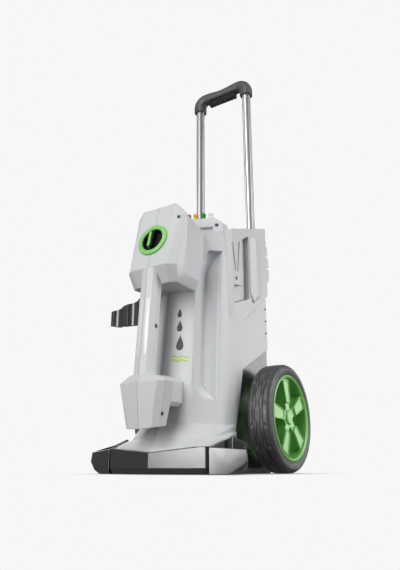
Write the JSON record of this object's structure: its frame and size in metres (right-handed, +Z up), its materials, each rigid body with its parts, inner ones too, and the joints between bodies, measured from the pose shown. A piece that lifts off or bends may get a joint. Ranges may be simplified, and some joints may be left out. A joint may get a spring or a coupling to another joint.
{
  "type": "pressure washer",
  "caption": "Upright electric pressure washer on two wheels, with a front carry column, telescoping handle, selector knob, nozzle caddy, gun holder and lance sockets.",
  "frame": {"origin": "centre of the overall box at floor level, with the handle out", "axes": "+Z up along the handle; -Y is the front, where the selector and carry column are; X is across the machine along the wheel axle"},
  "size_m": [0.406, 0.474, 1.15],
  "materials": {
    "casing": "satin light grey",
    "anthracite": "fine matt texture",
    "green": "semi-gloss",
    "black": "semi-gloss",
    "grip": "soft matt",
    "tube": "brushed along its length",
    "steel": "machined",
    "zinc": "cast",
    "brass": "machined",
    "tyre": "matt",
    "nozzle_red": "semi-gloss",
    "nozzle_yellow": "semi-gloss",
    "nozzle_green": "semi-gloss",
    "nozzle_white": "semi-gloss"
  },
  "bodies": {
    "machine": {"casing_left": "casing", "casing_right": "casing", "nozzle_caddy": "casing", "cord_cleat_left": "casing", "cord_cleat_right": "casing", "vent_cowl": "casing", "selector_switch": "anthracite", "base_tray": "anthracite", "lance_socket_left": "anthracite", "lance_socket_right": "anthracite", "chassis": "anthracite", "tube_collar_left": "anthracite", "tube_collar_right": "anthracite", "gun_holder": "anthracite", "selector_ring": "green", "selector_dish": "black", "pressure_switch": "black", "cord_gland": "black", "junction_box": "black", "head_screw": "black", "column_screw": "black", "boot_screw": "black", "piston_1": "steel", "piston_2": "steel", "piston_3": "steel", "axle": "steel", "tube_sleeve_left": "zinc", "tube_sleeve_right": "zinc", "motor_frame": "zinc", "motor_can": "zinc", "motor_end_bell": "zinc", "pump_housing": "zinc", "pump_head": "zinc", "motor_stator": "brass", "water_inlet": "brass", "outlet_fitting": "brass", "capacitor": "nozzle_white"},
    "wheel_left": {"tyre_left": "tyre", "rim_left": "green", "hub_cap_left": "green"},
    "wheel_right": {"tyre_right": "tyre", "rim_right": "green", "hub_cap_right": "green"},
    "handle": {"grip": "grip", "button_spring": "steel", "handle_tube_left": "tube", "handle_tube_right": "tube"},
    "handle_button": {"release_button": "black"},
    "selector": {"selector_knob": "black", "selector_pointer": "green"},
    "rotor": {"motor_rotor": "zinc", "drive_shaft": "steel", "wobble_plate": "steel", "cooling_fan": "black"},
    "spray_black": {"nozzle_black": "black"},
    "spray_red": {"nozzle_red": "nozzle_red"},
    "spray_yellow": {"nozzle_yellow": "nozzle_yellow"},
    "spray_green": {"nozzle_green": "nozzle_green"},
    "spray_white": {"nozzle_white": "nozzle_white"}
  },
  "joints": [
    {"name": "handle_slide", "type": "slide", "parent": "machine", "child": "handle", "axis": [0, 0, 1], "range_m": [-0.42, 0]},
    {"name": "handle_button_press", "type": "slide", "parent": "handle", "child": "handle_button", "axis": [0, 0, 1], "range_m": [0, 0.004], "stiffness_N_per_m": 600, "deforming": ["button_spring"]},
    {"name": "selector_turn", "type": "hinge", "parent": "machine", "child": "selector", "pos_m": [0, -0.19621, 0.51], "axis": [0, -0.9739, 0.227], "range_deg": [-90, 0]},
    {"name": "wheel_left_spin", "type": "hinge", "parent": "machine", "child": "wheel_left", "pos_m": [0.16, 0.112, 0.125], "axis": [1, 0, 0], "continuous": true},
    {"name": "wheel_right_spin", "type": "hinge", "parent": "machine", "child": "wheel_right", "pos_m": [-0.16, 0.112, 0.125], "axis": [1, 0, 0], "continuous": true},
    {"name": "motor_spin", "type": "hinge", "parent": "machine", "child": "rotor", "pos_m": [0, 0.034, 0.3], "axis": [0, 0, 1], "continuous": true},
    {"name": "spray_black_lift", "type": "slide", "parent": "machine", "child": "spray_black", "axis": [0, 0, 1], "range_m": [0, 0.04]},
    {"name": "spray_red_lift", "type": "slide", "parent": "machine", "child": "spray_red", "axis": [0, 0, 1], "range_m": [0, 0.04]},
    {"name": "spray_yellow_lift", "type": "slide", "parent": "machine", "child": "spray_yellow", "axis": [0, 0, 1], "range_m": [0, 0.04]},
    {"name": "spray_green_lift", "type": "slide", "parent": "machine", "child": "spray_green", "axis": [0, 0, 1], "range_m": [0, 0.04]},
    {"name": "spray_white_lift", "type": "slide", "parent": "machine", "child": "spray_white", "axis": [0, 0, 1], "range_m": [0, 0.04]}
  ]
}
